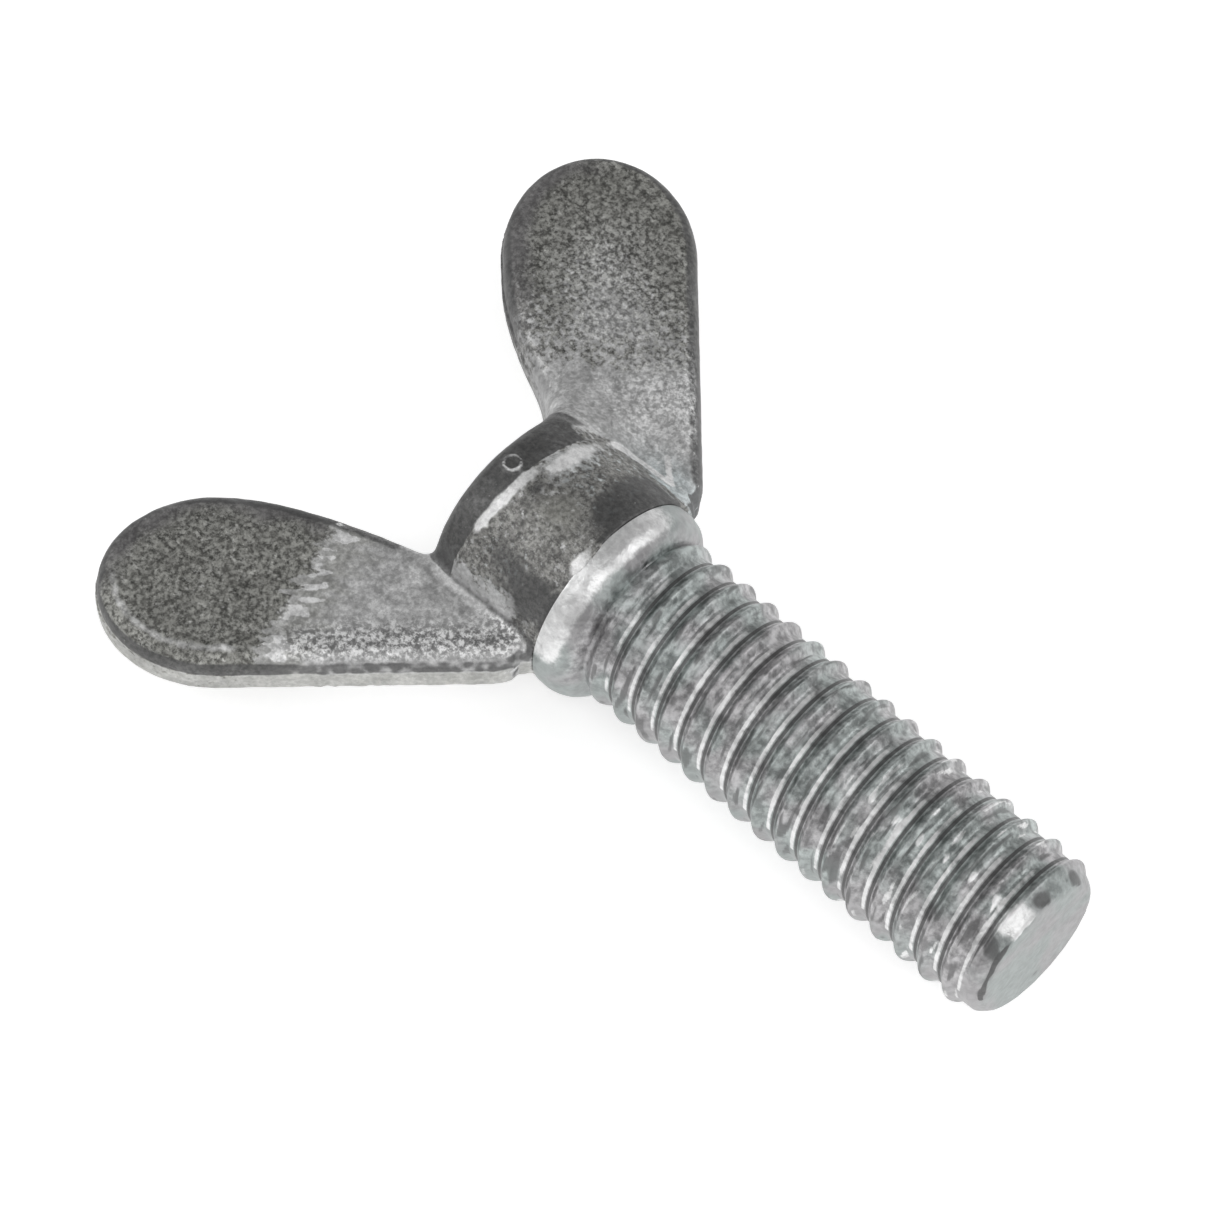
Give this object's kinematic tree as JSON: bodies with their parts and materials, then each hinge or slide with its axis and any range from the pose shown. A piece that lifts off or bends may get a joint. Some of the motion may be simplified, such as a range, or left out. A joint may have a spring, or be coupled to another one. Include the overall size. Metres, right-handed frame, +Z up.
{
  "type": "wing screw",
  "caption": "Wing screw: a cast head with rounded finger wings in a V on a right-hand threaded steel stud with a chamfered flat tip.",
  "frame": {"origin": "middle of the footprint with the screw lying flat, at the height of the hub's lowest point", "axes": "+X along the stud towards its tip, +Y along the spread of the wings, +Z up, across the wings' plane"},
  "size_m": [0.049, 0.0384, 0.0116],
  "materials": {
    "cast_head": "tumbled casting with a rough dark grey skin, paler on the worn roots and edges",
    "plated_steel": "rolled thread, bright zinc plated"
  },
  "bodies": {
    "root": {"wing_head": "cast_head", "threaded_stud": "plated_steel"}
  },
  "joints": []
}
